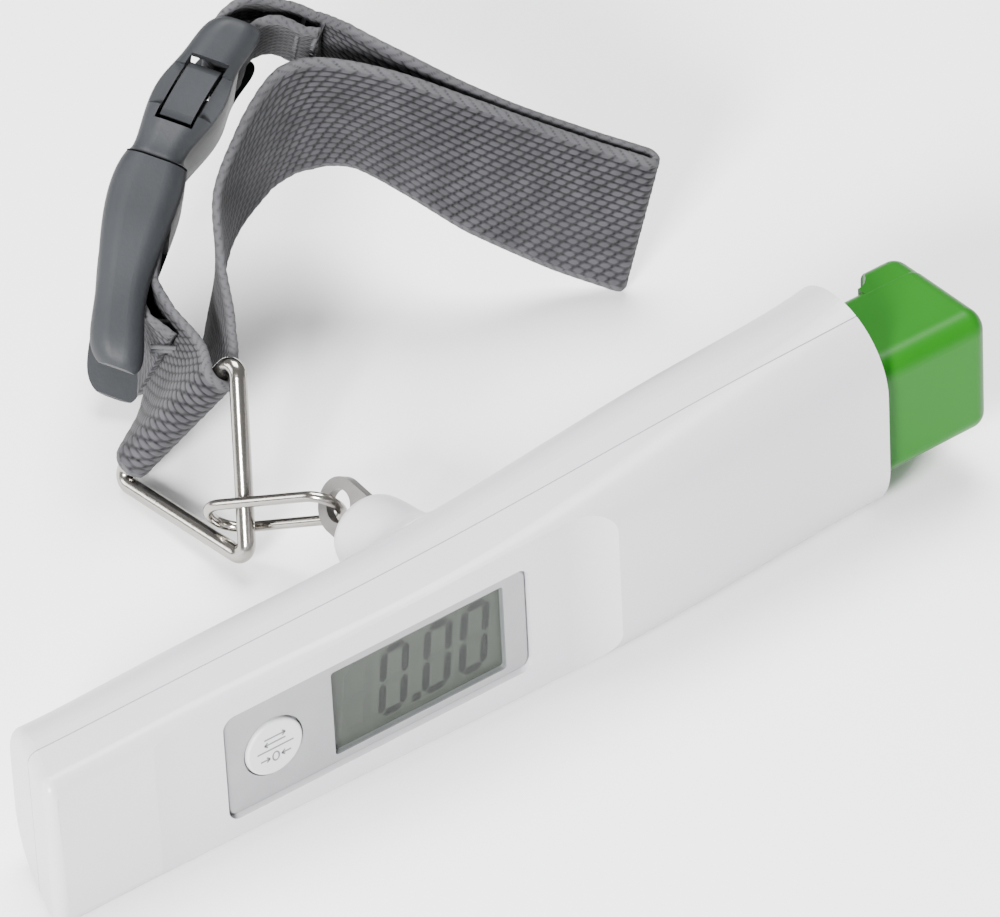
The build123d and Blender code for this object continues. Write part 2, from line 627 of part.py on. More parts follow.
# ---- buckle ------------------------------------------------------------------------------
# Buckle frame: X from the plug's end to the socket's end, Y out of its bowed outer face, Z across.
BUCKLE_START = (-8.0, 82.3, 13.2)
BUCKLE_RUN, BUCKLE_ACROSS = (0.695, 0.387, 0.604), (-0.332, -0.574, 0.748)
BUCKLE = Plane(origin=BUCKLE_START, x_dir=BUCKLE_RUN, z_dir=BUCKLE_ACROSS)
BAR_R = 1.6
PLUG_BAR, SOCKET_BAR = (19.0, 2.7), (50.6, 0.9)
SPLIT_X, RAIL_IN = 31.0, 12.85
PIVOT_X, PIVOT_Z, PIVOT_R, PRESS_ANGLE = 28.6, 10.4, 1.6, 6.5


def bow(x):
    """Height of the buckle's bowed middle line at x."""
    return BUCKLE_SAG * (1 - ((x - BUCKLE_LONG / 2) / (BUCKLE_LONG / 2)) ** 2)


def pill(x, half_thick, half_wide, radius):
    """Rounded-rectangle outline across the buckle at x."""
    frame = Plane(origin=(x, bow(x), 0), x_dir=(0, 1, 0), z_dir=(1, 0, 0))
    return (frame * RectangleRounded(2 * half_thick, 2 * half_wide, radius)).wire()


def bowed_slab(x0, x1, half, z0, z1):
    """A slab that follows the bow, half thick each way, between x0 and x1."""
    middle = (x0 + x1) / 2
    top = Edge.make_three_point_arc(*[Vector(x, bow(x) + half, z0) for x in (x0, middle, x1)])
    bottom = Edge.make_three_point_arc(*[Vector(x, bow(x) - half, z0) for x in (x1, middle, x0)])
    right = Edge.make_line(top @ 1, bottom @ 0)
    left = Edge.make_line(bottom @ 1, top @ 0)
    return extrude(Face(Wire([top, right, bottom, left])), z1 - z0, dir=(0, 0, 1))


def prong_outline(side):
    """Plan of one prong, as a tall bar: round root, thin arm and the pad that is pressed."""
    arm = [(PIVOT_X, -0.9), (38.0, -1.0), (45.4, -0.5), (46.4, 0.6), (46.2, 4.0), (45.2, 4.9)]
    pad = [(38.4, 4.9), (37.4, 4.1), (37.2, 1.2), (PIVOT_X, 0.9)]
    points = [(x, side * (PIVOT_Z + z)) for x, z in arm + pad]
    outline = make_face(Polyline(*points, close=True)) + Location((PIVOT_X, side * PIVOT_Z)) * Circle(PIVOT_R)
    bar = extrude(outline, 30, both=True)
    return Location((0, 0, 0), (90, 0, 0)) * bar


def prong(side):
    """One latch prong. side is 1 for the +Z prong and -1 for the other."""
    slab = bowed_slab(26.0, 47.0, 2.4, -20, 20)
    return prong_outline(side) & slab


def plug():
    """Plug half: two rails with a strap bar between them, a thick shoulder and a guide tongue."""
    stations = [
        (0.0, 2.9, 14.6, 2.6),
        (1.2, 3.8, 15.4, 3.0),
        (4.0, 4.2, 15.75, 3.0),
        (17.0, 4.5, 15.75, 3.0),
        (22.0, 5.1, 15.75, 3.2),
        (27.0, 5.3, 15.75, 3.2),
        (SPLIT_X - 0.15, 4.7, 15.75, 3.2),
    ]
    body = Solid.make_loft([pill(*station) for station in stations])
    body = body - box(-2, 22.6, -20, 20, -RAIL_IN, RAIL_IN)
    body = body + rod_z(*PLUG_BAR, BAR_R, -RAIL_IN - 0.5, RAIL_IN + 0.5)
    body = body + bowed_slab(SPLIT_X - 1.0, 43.0, 2.3, -2.8, 2.8)
    for side in (-1, 1):
        pocket = rod_y(PIVOT_X, side * PIVOT_Z, PIVOT_R + 0.1, -20, 20)
        mouth_low, mouth_high = sorted((side * (PIVOT_Z - 1.5), side * (PIVOT_Z + 1.15)))
        pocket = pocket + box(PIVOT_X, SPLIT_X + 1, -20, 20, mouth_low, mouth_high)
        body = body - (pocket & bowed_slab(25.0, SPLIT_X + 1, 2.55, -20, 20))
    return body


def socket():
    """Socket half: a hollow collar with side windows for the prongs and a strap bar at its end."""
    stations = [
        (SPLIT_X + 0.15, 4.7, 15.75, 3.2),
        (36.0, 4.5, 15.75, 3.2),
        (47.0, 4.4, 15.75, 3.0),
        (52.0, 4.2, 15.6, 3.0),
        (53.8, 3.6, 15.2, 2.8),
        (BUCKLE_LONG, 2.7, 14.6, 2.4),
    ]
    body = Solid.make_loft([pill(*station) for station in stations])
    body = body - bowed_slab(SPLIT_X - 1, 45.6, 2.9, -13.3, 13.3)
    body = body - bowed_slab(36.6, 47.4, 2.9, -20, 20)
    body = body - box(47.4, 60, -20, 20, -RAIL_IN, RAIL_IN)
    grip = box(38.6, 45.6, -20, 20, 13.9, 20) + box(38.6, 45.6, -20, 20, -20, -13.9)
    body = body - grip
    return body + rod_z(*SOCKET_BAR, BAR_R, -RAIL_IN - 0.5, RAIL_IN + 0.5)


# ---- strap -------------------------------------------------------------------------------
# The strap is one length of 25 mm webbing. It starts at the buckle's plug, folds round the ring,
# passes inside the buckle, goes over the top, comes down to the table at the right, doubles back
# there and ends on the buckle's socket. Each place is its middle and its width direction.
TURN_R = BAR_R + 0.15 + WEB_THICK / 2
RING_TURN_R = RING_WIRE + 0.15 + WEB_THICK / 2
RING_LEAVE = (0.688, 0.723, 0.070)
RING_SIDE = (0.616, -0.530, -0.584)

OVER_TOP = [
    ((5.0, 75.7, 14.9), (-0.03, -0.51, 0.86)),
    ((12.5, 84.6, 21.7), (-0.33, -0.57, 0.75)),
    ((17.7, 90.2, 27.3), (-0.40, -0.45, 0.80)),
    ((25.3, 93.5, 31.8), (-0.43, -0.34, 0.84)),
    ((30.2, 94.6, 34.0), (-0.36, -0.21, 0.91)),
    ((33.6, 94.6, 35.0), (-0.29, -0.11, 0.95)),
    ((36.8, 93.4, 35.5), (-0.26, -0.08, 0.96)),
    ((40.2, 90.4, 35.4), (-0.20, -0.11, 0.97)),
    ((45.4, 84.8, 33.2), (-0.06, -0.14, 0.99)),
    ((54.6, 77.8, 26.4), (0.10, -0.12, 0.99)),
    ((66.0, 72.0, 18.2), (0.17, -0.09, 0.98)),
    ((73.6, 67.0, 13.9), (0.20, -0.10, 0.98)),
]
BACK_GAPS = [2.45, 2.5, 2.6, 4.2, 7.0]


def in_buckle(x, y, z=0, width=(0, 0, 1)):
    """A strap place given in the buckle's frame."""
    return BUCKLE.from_local_coords(Vector(x, y, z)), vector_in_buckle(width).normalized()


def vector_in_buckle(direction):
    """A direction given in the buckle's frame."""
    x, y, z = direction
    return BUCKLE.x_dir * x + BUCKLE.y_dir * y + BUCKLE.z_dir * z


def round_bar(bar, start, end, step):
    """Strap places round one of the buckle's bars, from one angle to another."""
    made = []
    angle = start
    while (end - angle) * step >= 0:
        turn = math.radians(angle)
        made.append(in_buckle(bar[0] + TURN_R * math.cos(turn), bar[1] + TURN_R * math.sin(turn)))
        angle += step
    return made


def round_ring():
    """Strap places round the ring's straight side."""
    leave, side = Vector(*RING_LEAVE), Vector(*RING_SIDE)
    middle = RING_PLACE.from_local_coords(Vector(RING_HIGH, 0, 0))
    made = []
    for degrees in range(-90, 91, 30):
        turn = math.radians(degrees)
        offset = side * math.sin(turn) - leave * math.cos(turn)
        made.append((middle + offset * RING_TURN_R, RING_PLACE.y_dir))
    return made


def strap_places():
    """All the places along the strap, from its tail at the plug to its tail at the socket."""
    over = [(Vector(*p), Vector(*w).normalized()) for p, w in OVER_TOP]
    out_side = []
    for k in range(1, 6):
        point, width = over[-k]
        ahead = over[-k + 1][0] if k > 1 else point + (point - over[-2][0])
        normal = (ahead - over[-k - 1][0]).cross(width).normalized()
        out_side.append((point - normal * BACK_GAPS[k - 1], width))
    last, width = over[-1]
    run = (last - over[-2][0]).normalized()
    middle = (last + out_side[0][0]) * 0.5
    across = last - middle
    fold = []
    for degrees in (0, 35, 90, 145, 180):
        turn = math.radians(degrees)
        fold.append((middle + run * (across.length * math.sin(turn) + 1.2) + across * math.cos(turn), width))
    tail_end = in_buckle(4.6, -5.0, width=(0.25, -0.1, 0.96))
    tail_at_plug = [tail_end, in_buckle(9.0, -1.5), in_buckle(14.0, 2.9)]
    from_plug = [in_buckle(14.6, -0.6), in_buckle(9.4, -3.9, width=(0.15, -0.05, 0.99))]
    ring_side = round_ring()
    near_ring = (ring_side[0][0] + Vector(*RING_LEAVE) * 7.0, Vector(0.10, -0.53, 0.84).normalized())
    to_socket = [
        in_buckle(59.4, -10.4, -5.8, (0.1, 0.08, 0.98)),
        in_buckle(60.0, -4.8, -3.0),
        in_buckle(58.6, 0.2, -1.0),
        in_buckle(54.8, 2.9),
    ]
    tail_at_socket = [
        in_buckle(54.4, -1.7),
        in_buckle(57.3, -4.6, -2.0),
        in_buckle(57.6, -9.0, -4.5),
        in_buckle(57.2, -12.0, -5.5, (0.1, 0.08, 0.98)),
    ]
    return (
        tail_at_plug
        + round_bar(PLUG_BAR, 90, -90, -30)
        + from_plug
        + [near_ring]
        + ring_side
        + over
        + fold
        + out_side
        + to_socket
        + round_bar(SOCKET_BAR, 90, 270, 30)
        + tail_at_socket
    )


def smooth_places(places, steps):
    """Adds steps places between each two, on a smooth curve through them all."""
    made = []
    for k in range(len(places) - 1):
        p1, w1 = places[k]
        p2, w2 = places[k + 1]
        p0 = places[k - 1][0] if k else p1 * 2 - p2
        p3 = places[k + 2][0] if k + 2 < len(places) else p2 * 2 - p1
        span = (p2 - p1).length
        out = (p2 - p0) * (span / ((p2 - p1).length + (p1 - p0).length))
        into = (p3 - p1) * (span / ((p3 - p2).length + (p2 - p1).length))
        for step in range(steps):
            t = step / steps
            a, b = 2 * t**3 - 3 * t**2 + 1, t**3 - 2 * t**2 + t
            c, d = 3 * t**2 - 2 * t**3, t**3 - t**2
            made.append((p1 * a + out * b + p2 * c + into * d, (w1 * (1 - t) + w2 * t).normalized()))
    made.append(places[-1])
    return made


def strap_webbing():
    """The webbing as a ruled ribbon of even thickness through its places."""
    places = smooth_places(strap_places(), 3)
    sections = []
    for k, (point, width) in enumerate(places):
        before = places[max(k - 1, 0)][0]
        after = places[min(k + 1, len(places) - 1)][0]
        normal = (after - before).cross(width).normalized()
        half_wide, half_thick = width * (WEB_WIDE / 2), normal * (WEB_THICK / 2)
        corners = [
            point - half_wide - half_thick,
            point + half_wide - half_thick,
            point + half_wide + half_thick,
            point - half_wide + half_thick,
        ]
        sections.append(Wire.make_polygon(corners, close=True))
    return Solid.make_loft(sections, ruled=True)


PLUG_STITCHES = [((5.4, -3.5), (6.4, -7.0)), ((8.6, -0.8), (9.8, -4.9))]
SOCKET_STITCHES = [((56.5, -8.2), (61.1, -8.4)), ((56.4, -10.8), (60.4, -11.2))]


def stitching():
    """Rows of thread that go through the folded-back ends of the webbing."""
    made = []
    for rows, across in ((PLUG_STITCHES, 0.0), (SOCKET_STITCHES, -4.8)):
        for (x0, y0), (x1, y1) in rows:
            for k in range(-3, 4):
                start = Vector(x0, y0, 3.0 * k + across)
                run = Vector(x1, y1, 3.0 * k + across) - start
                made.append(Plane(origin=start + run * 0.5, z_dir=run) * Cylinder(0.35, run.length))
    return Compound(children=made)


# ---- assembly ----------------------------------------------------------------------------
front_shell, rear_shell = shells()
keep("front_shell", front_shell)
keep("rear_shell", rear_shell)
keep("shell_screws", shell_screws())
keep("display_bezel", bezel())
keep("display_window", window_pane())
keep("lcd_glass", lcd())
keep("lcd_zebra_strips", zebra_strips())
keep("main_pcb", board())
keep("board_parts", board_parts())
keep("storage_capacitor", capacitor())
keep("tact_switch", tact_switch())
keep("tare_button", button())
keep("tact_plunger", plunger())
keep("load_cell_beam", load_beam())
keep("strain_gauges", strain_gauges())
keep("load_cell_screws", beam_screws())
keep("thrust_washer", thrust_washer())
keep("eye_nut", eye_nut())
keep("eye_bolt", eye_bolt())
keep("pump_knob", knob())
keep("pump_rack", rack())
keep("rack_pin", rack_pin())
keep("return_spring", return_spring())
keep("drive_gear", drive_gear())
keep("idler_gear", idler_gear())
keep("generator_rotor", rotor())
keep("generator_stator", stator())
keep("generator_coil", coil())
keep("gear_frame", gear_frame())
keep("gear_axles", gear_axles())
keep("wire_leads", wire_leads())
keep("link_ring", link_ring(), LINK_PLACE.location)
keep("triangle_ring", triangle_ring(), RING_PLACE.location)
keep("buckle_plug", plug(), BUCKLE.location)
keep("buckle_socket", socket(), BUCKLE.location)
keep("buckle_prong_upper", prong(1), BUCKLE.location)
keep("buckle_prong_lower", prong(-1), BUCKLE.location)
keep("strap_webbing", strap_webbing(), Location())
keep("strap_stitching", stitching(), BUCKLE.location)

boxes = [shape.bounding_box() for shape in parts.values()]
low = [min(getattr(b.min, axis) for b in boxes) for axis in "XYZ"]
high = [max(getattr(b.max, axis) for b in boxes) for axis in "XYZ"]
SHIFT = Vector(-(low[0] + high[0]) / 2, -(low[1] + high[1]) / 2, -low[2])

os.makedirs("parts", exist_ok=True)
for name, shape in parts.items():
    export_step(Location(SHIFT) * shape, f"parts/{name}.step")

print("origin moved by", tuple(round(v, 4) for v in SHIFT))
print("size", [round(b - a, 2) for a, b in zip(low, high)])
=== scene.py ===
import json
import math

import bpy
import numpy as np
from mathutils import Matrix, Vector


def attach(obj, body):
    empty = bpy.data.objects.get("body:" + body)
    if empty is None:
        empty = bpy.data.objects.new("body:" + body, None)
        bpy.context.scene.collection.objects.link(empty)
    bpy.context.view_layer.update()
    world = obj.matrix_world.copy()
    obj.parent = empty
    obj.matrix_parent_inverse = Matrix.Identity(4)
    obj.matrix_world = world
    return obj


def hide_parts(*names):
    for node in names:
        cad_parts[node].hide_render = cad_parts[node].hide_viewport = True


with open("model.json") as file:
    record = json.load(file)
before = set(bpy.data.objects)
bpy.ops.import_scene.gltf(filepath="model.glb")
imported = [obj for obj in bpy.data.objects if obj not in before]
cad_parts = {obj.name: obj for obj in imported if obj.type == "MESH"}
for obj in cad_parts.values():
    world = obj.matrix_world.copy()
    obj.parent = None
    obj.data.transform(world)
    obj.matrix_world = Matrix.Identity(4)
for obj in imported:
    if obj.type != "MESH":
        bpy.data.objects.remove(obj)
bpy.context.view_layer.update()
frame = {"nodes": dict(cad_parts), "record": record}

MM = 0.001
# The row frame is the CAD model's own frame moved by this much, in millimetres, so that the model's
# box is centred on the origin and stands on the floor.
SHIFT = np.array([-8.7427, -55.9432, -0.006])
TILT, MID_X, MID_HEIGHT = math.radians(1.67), 75.0, 16.0


def housing(x, y, z):
    """A point in the housing's frame, in millimetres, as a point in the row frame, in metres."""
    run = x - MID_X
    across = run * math.cos(TILT) - z * math.sin(TILT)
    height = MID_HEIGHT + run * math.sin(TILT) + z * math.cos(TILT)
    turned = np.array([across, y, height])
    return (turned + SHIFT) * MM


# ---- materials ---------------------------------------------------------------------------
def material(
    name, colour, roughness, metallic=0.0, grain=400.0, bump=0.02, mottle=0.03, spread=0.05, shine=0.5
):
    """A surface with fine grain: the noise drives its colour, roughness and bump a little."""
    made = bpy.data.materials.new(name)
    made.use_nodes = True
    nodes, links = made.node_tree.nodes, made.node_tree.links
    shader = nodes["Principled BSDF"]
    shader.inputs["Metallic"].default_value = metallic
    shader.inputs["Specular IOR Level"].default_value = shine
    place = nodes.new("ShaderNodeTexCoord")
    fine = nodes.new("ShaderNodeTexNoise")
    fine.inputs["Scale"].default_value = grain * 4
    fine.inputs["Detail"].default_value = 4
    broad = nodes.new("ShaderNodeTexNoise")
    broad.inputs["Scale"].default_value = grain / 4
    broad.inputs["Detail"].default_value = 5
    links.new(place.outputs["Object"], fine.inputs["Vector"])
    links.new(place.outputs["Object"], broad.inputs["Vector"])
    tone = nodes.new("ShaderNodeValToRGB")
    low = [max(0.0, c * (1 - mottle)) for c in colour]
    high = [min(1.0, c * (1 + mottle)) for c in colour]
    tone.color_ramp.elements[0].color = (*low, 1)
    tone.color_ramp.elements[1].color = (*high, 1)
    tone.color_ramp.elements[0].position = 0.3
    tone.color_ramp.elements[1].position = 0.7
    links.new(broad.outputs["Fac"], tone.inputs["Fac"])
    links.new(tone.outputs["Color"], shader.inputs["Base Color"])
    gloss = nodes.new("ShaderNodeMapRange")
    gloss.inputs["To Min"].default_value = max(0.02, roughness - spread)
    gloss.inputs["To Max"].default_value = min(1.0, roughness + spread)
    links.new(broad.outputs["Fac"], gloss.inputs["Value"])
    links.new(gloss.outputs["Result"], shader.inputs["Roughness"])
    relief = nodes.new("ShaderNodeBump")
    relief.inputs["Strength"].default_value = bump * 10
    relief.inputs["Distance"].default_value = 0.00004
    links.new(fine.outputs["Fac"], relief.inputs["Height"])
    links.new(relief.outputs["Normal"], shader.inputs["Normal"])
    return made


def clear_material(name):
    """A clear pane: mostly see-through, with a thin reflection."""
    made = bpy.data.materials.new(name)
    made.use_nodes = True
    nodes, links = made.node_tree.nodes, made.node_tree.links
    nodes.remove(nodes["Principled BSDF"])
    through = nodes.new("ShaderNodeBsdfTransparent")
    through.inputs["Color"].default_value = (0.93, 0.95, 0.94, 1)
    shine = nodes.new("ShaderNodeBsdfGlossy")
    shine.inputs["Roughness"].default_value = 0.06
    mix = nodes.new("ShaderNodeMixShader")
    mix.inputs["Fac"].default_value = 0.025
    links.new(through.outputs["BSDF"], mix.inputs[1])
    links.new(shine.outputs["BSDF"], mix.inputs[2])
    links.new(mix.outputs["Shader"], nodes["Material Output"].inputs["Surface"])
    return made


MIX_FIRST, MIX_SECOND, MIX_RESULT = 6, 7, 2


def colour_mix(made, mode, first):
    """A colour mix node in a material, with its first colour linked."""
    node = made.node_tree.nodes.new("ShaderNodeMix")
    node.data_type = "RGBA"
    node.blend_type = mode
    made.node_tree.links.new(first, node.inputs[MIX_FIRST])
    return node


def webbing_material():
    """Grey yarn: painted shade from the mesh's height attribute darkens the low gaps of the weave, and the
    edge attribute lightens its braided edges.
    """
    made = material("webbing", (0.04, 0.039, 0.043), 0.9, shine=0.12, grain=900, bump=0.08, mottle=0.2)
    nodes, links = made.node_tree.nodes, made.node_tree.links
    shader = nodes["Principled BSDF"]
    shader.inputs["Sheen Weight"].default_value = 0.05
    old = shader.inputs["Base Color"].links[0].from_socket
    height = nodes.new("ShaderNodeAttribute")
    height.attribute_name = "height"
    edge = nodes.new("ShaderNodeAttribute")
    edge.attribute_name = "edge"
    # Painted shade: the weave's height maps to a darkening factor, so the low gaps between stitches get
    # darker.
    gap = nodes.new("ShaderNodeMapRange")
    gap.inputs["From Min"].default_value = 0.1
    gap.inputs["From Max"].default_value = 0.75
    gap.inputs["To Min"].default_value = 0.22
    gap.inputs["To Max"].default_value = 1.15
    links.new(height.outputs["Fac"], gap.inputs["Value"])
    shade = colour_mix(made, "MULTIPLY", old)
    shade.inputs["Factor"].default_value = 1.0
    links.new(gap.outputs["Result"], shade.inputs[MIX_SECOND])
    lift = colour_mix(made, "MIX", shade.outputs[MIX_RESULT])
    lift.inputs[MIX_SECOND].default_value = (0.085, 0.085, 0.09, 1)
    links.new(edge.outputs["Fac"], lift.inputs["Factor"])
    # Painted shade, a second time: the same height factor darkens the gaps again, at half strength.
    final = colour_mix(made, "MULTIPLY", lift.outputs[MIX_RESULT])
    final.inputs["Factor"].default_value = 0.5
    links.new(gap.outputs["Result"], final.inputs[MIX_SECOND])
    links.new(final.outputs[MIX_RESULT], shader.inputs["Base Color"])
    return made


FINISH = {
    "white_shell": material("white_shell", (0.49, 0.48, 0.505), 0.34, grain=300, bump=0.015, mottle=0.012),
    "green_knob": material(
        "green_knob", (0.008, 0.110, 0.004), 0.4, shine=0.15, grain=300, bump=0.02, mottle=0.04
    ),
    "silver_panel": material(
        "silver_panel", (0.26, 0.26, 0.27), 0.42, metallic=0.5, grain=900, bump=0.06, mottle=0.05
    ),
    "clear_pane": clear_material("clear_pane"),
    "lcd": material("lcd", (0.045, 0.048, 0.041), 0.6, shine=0.0, grain=200, bump=0.005, mottle=0.06),
    "button_white": material("button_white", (0.50, 0.50, 0.515), 0.45, grain=500, bump=0.02, mottle=0.02),
    "board_green": material("board_green", (0.02, 0.16, 0.05), 0.4, grain=600, bump=0.03, mottle=0.15),
    "black_part": material("black_part", (0.02, 0.02, 0.02), 0.45, grain=500, bump=0.03, mottle=0.1),
    "cap_sleeve": material("cap_sleeve", (0.02, 0.02, 0.08), 0.25, grain=300, bump=0.01, mottle=0.05),
    "contact_rubber": material("contact_rubber", (0.3, 0.22, 0.24), 0.8, grain=800, bump=0.05, mottle=0.1),
    "beam_alloy": material(
        "beam_alloy", (0.72, 0.73, 0.75), 0.32, metallic=1.0, grain=900, bump=0.05, mottle=0.05
    ),
    "gauge_foil": material("gauge_foil", (0.55, 0.27, 0.06), 0.35, grain=900, bump=0.02, mottle=0.2),
    "steel_screw": material(
        "steel_screw", (0.55, 0.55, 0.56), 0.28, metallic=1.0, grain=900, bump=0.05, mottle=0.1
    ),
    "eye_steel": material(
        "eye_steel", (0.20, 0.19, 0.185), 0.38, metallic=1.0, grain=700, bump=0.09, mottle=0.18, spread=0.12
    ),
    "ring_nickel": material(
        "ring_nickel", (0.33, 0.315, 0.29), 0.18,
        metallic=1.0, grain=350, bump=0.04, mottle=0.08, spread=0.07,
    ),
    "webbing_grey": webbing_material(),
    "thread_grey": material("thread_grey", (0.06, 0.06, 0.065), 0.8, grain=1200, bump=0.08, mottle=0.2),
    "buckle_plastic": material(
        "buckle_plastic", (0.017, 0.0185, 0.021), 0.55,
        shine=0.25, grain=420, bump=0.07, mottle=0.1, spread=0.08,
    ),
    "gear_resin": material("gear_resin", (0.75, 0.72, 0.62), 0.4, grain=300, bump=0.02, mottle=0.04),
    "frame_resin": material("frame_resin", (0.04, 0.04, 0.04), 0.5, grain=500, bump=0.04, mottle=0.1),
    "magnet": material("magnet", (0.12, 0.12, 0.13), 0.4, metallic=0.6, grain=500, bump=0.03, mottle=0.1),
    "copper": material("copper", (0.6, 0.22, 0.07), 0.3, metallic=0.9, grain=1500, bump=0.1, mottle=0.15),
    "stator_steel": material(
        "stator_steel", (0.5, 0.5, 0.5), 0.35, metallic=1.0, grain=600, bump=0.04, mottle=0.1
    ),
    "wire_red": material("wire_red", (0.4, 0.015, 0.015), 0.45, grain=500, bump=0.03, mottle=0.1),
}
SLOT_OF = {part["node"]: part["material_slot"] for part in frame["record"]["subparts"]}

for name, node in frame["nodes"].items():
    finish = FINISH[SLOT_OF[name]]
    for held in node.material_slots:
        held.material = finish
    if not node.material_slots:
        node.data.materials.append(finish)


def add_mesh(name, points, faces, finish, body):
    """A new piece from points in the row frame, in metres, riding on a body."""
    mesh = bpy.data.meshes.new(name)
    mesh.from_pydata([tuple(p) for p in points], [], faces)
    mesh.update()
    piece = bpy.data.objects.new(name, mesh)
    bpy.context.collection.objects.link(piece)
    mesh.materials.append(finish)
    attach(piece, body)
    return piece


# ---- display digits and button mark -------------------------------------------------------
def flat_shapes(name, outlines, front, back, finish, body):
    """Thin plates in the housing's frame, one per (x, z) outline."""
    points, faces = [], []
    for outline in outlines:
        start, count = len(points), len(outline)
        points += [housing(x, front, z) for x, z in outline] + [housing(x, back, z) for x, z in outline]
        faces.append(list(range(start, start + count)))
        faces.append(list(range(start + 2 * count - 1, start + count - 1, -1)))
        for k in range(count):
            after = (k + 1) % count
            faces.append([start + k, start + count + k, start + count + after, start + after])
    return add_mesh(name, points, faces, finish, body)


DIGIT_HIGH, DIGIT_WIDE, STROKE, SLANT = 12.6, 5.0, 1.25, 0.10
DIGIT_PLACES = (53.6, 60.0, 67.6, 74.0)


def segment(x0, z0, x1, z1, shift):
    """A pointed bar of a seven-part digit, slanted with its height."""
    run = np.array([x1 - x0, z1 - z0])
    length = np.hypot(*run)
    along, side = run / length, np.array([-run[1], run[0]]) / length
    half, gap = STROKE / 2, 0.18
    start, end = np.array([x0, z0]), np.array([x1, z1])
    corners = [
        start + along * gap,
        start + along * (gap + half) + side * half,
        end - along * (gap + half) + side * half,
        end - along * gap,
        end - along * (gap + half) - side * half,
        start + along * (gap + half) - side * half,
    ]
    return [(x + z * SLANT + shift, z) for x, z in corners]


def digit(shift):
    """The seven parts of a digit: six round the outside, then the middle one."""
    w, h = DIGIT_WIDE / 2 - STROKE / 2, DIGIT_HIGH / 2 - STROKE / 2
    corners = [(-w, h), (w, h), (w, 0), (w, -h), (-w, -h), (-w, 0), (-w, h)]
    outside = [segment(*start, *end, shift) for start, end in zip(corners, corners[1:])]
    return outside + [segment(-w, 0, w, 0, shift)]


def dot(x, z):
    """A small slanted square point."""
    half, slant = 0.7, 0.1
    low = [(x - half, z - half), (x + half, z - half)]
    return low + [(x + half + slant, z + half), (x - half + slant, z + half)]


dark = material("lcd_dark", (0.008, 0.009, 0.008), 0.6, bump=0.005, shine=0.0)
ghost = material("lcd_ghost", (0.037, 0.04, 0.034), 0.6, bump=0.005, shine=0.0)
DOT_Z = -5.6
zeros = [part for x in DIGIT_PLACES[1:] for part in digit(x)[:6]] + [dot(63.6, DOT_Z)]
faint = digit(DIGIT_PLACES[0]) + [digit(x)[6] for x in DIGIT_PLACES[1:]]
faint += [dot(57.0, DOT_Z), dot(70.9, DOT_Z)]
flat_shapes("lcd_digits", zeros, 1.61, 1.64, dark, "housing")
flat_shapes("lcd_faint_segments", faint, 1.615, 1.64, ghost, "housing")

ink = material("button_ink", (0.12, 0.12, 0.13), 0.5, bump=0.01)
BUTTON_X, BUTTON_FACE = 38.5, 0.1


def bar(x0, z0, x1, z1, half=0.14):
    """A thin straight line of ink on the button."""
    run = np.array([x1 - x0, z1 - z0])
    side = np.array([-run[1], run[0]]) / np.hypot(*run) * half
    ends = [(x0, z0, 1), (x1, z1, 1), (x1, z1, -1), (x0, z0, -1)]
    return [(BUTTON_X + x + side[0] * s, z + side[1] * s) for x, z, s in ends]


def arrow(x0, x1, z):
    """A small arrow along the button, as three lines."""
    back = math.copysign(0.55, x0 - x1)
    return [bar(x0, z, x1, z), bar(x1, z, x1 + back, z + 0.45), bar(x1, z, x1 + back, z - 0.45)]


ring = [(0.55 * math.cos(a), 0.8 * math.sin(a)) for a in np.linspace(0, 2 * math.pi, 13)]
zero = [bar(x0, z0 - 1.6, x1, z1 - 1.6) for (x0, z0), (x1, z1) in zip(ring, ring[1:])]
mark = [bar(-3.1, 0, 3.1, 0)] + zero
mark += arrow(-2.6, -1.0, -1.6) + arrow(2.6, 1.0, -1.6)
mark += arrow(-1.8, 1.8, 2.1) + arrow(1.8, -1.8, 1.1)
flat_shapes("button_mark", mark, BUTTON_FACE - 0.02, BUTTON_FACE + 0.03, ink, "button")

# ---- webbing -----------------------------------------------------------------------------
WIDE, THICK = 25.0, 1.4
BUCKLE_START = np.array([-8.0, 82.3, 13.2])


def unit(v):
    """v with length 1."""
    v = np.array(v, dtype=float)
    return v / np.linalg.norm(v)


BUCKLE_X = unit((0.695, 0.387, 0.604))
BUCKLE_Z = np.array([-0.332, -0.574, 0.748])
BUCKLE_Z = unit(BUCKLE_Z - BUCKLE_X * BUCKLE_Z.dot(BUCKLE_X))
BUCKLE_Y = np.cross(BUCKLE_Z, BUCKLE_X)
PLUG_BAR, SOCKET_BAR, BAR_TURN = (19.0, 2.7), (50.6, 0.9), 2.45
RING_TIP, RING_RUN, RING_ACROSS = (-9.2, 46.89, 3.62), unit((0.131, 0.894, 0.429)), (0.385, -0.445, 0.809)
RING_HIGH, RING_TURN = 25.0, 2.2
RING_Z = unit(np.cross(RING_RUN, RING_ACROSS))
RING_Y = np.cross(RING_Z, RING_RUN)
RING_LEAVE, RING_SIDE = np.array([0.688, 0.723, 0.070]), np.array([0.616, -0.530, -0.584])

OVER_TOP = [
    ((5.0, 75.7, 14.9), (-0.03, -0.51, 0.86)),
    ((12.5, 84.6, 21.7), (-0.33, -0.57, 0.75)),
    ((17.7, 90.2, 27.3), (-0.40, -0.45, 0.80)),
    ((25.3, 93.5, 31.8), (-0.43, -0.34, 0.84)),
    ((30.2, 94.6, 34.0), (-0.36, -0.21, 0.91)),
    ((33.6, 94.6, 35.0), (-0.29, -0.11, 0.95)),
    ((36.8, 93.4, 35.5), (-0.26, -0.08, 0.96)),
    ((40.2, 90.4, 35.4), (-0.20, -0.11, 0.97)),
    ((45.4, 84.8, 33.2), (-0.06, -0.14, 0.99)),
    ((54.6, 77.8, 26.4), (0.10, -0.12, 0.99)),
    ((66.0, 72.0, 18.2), (0.17, -0.09, 0.98)),
    ((73.6, 67.0, 13.9), (0.20, -0.10, 0.98)),
]
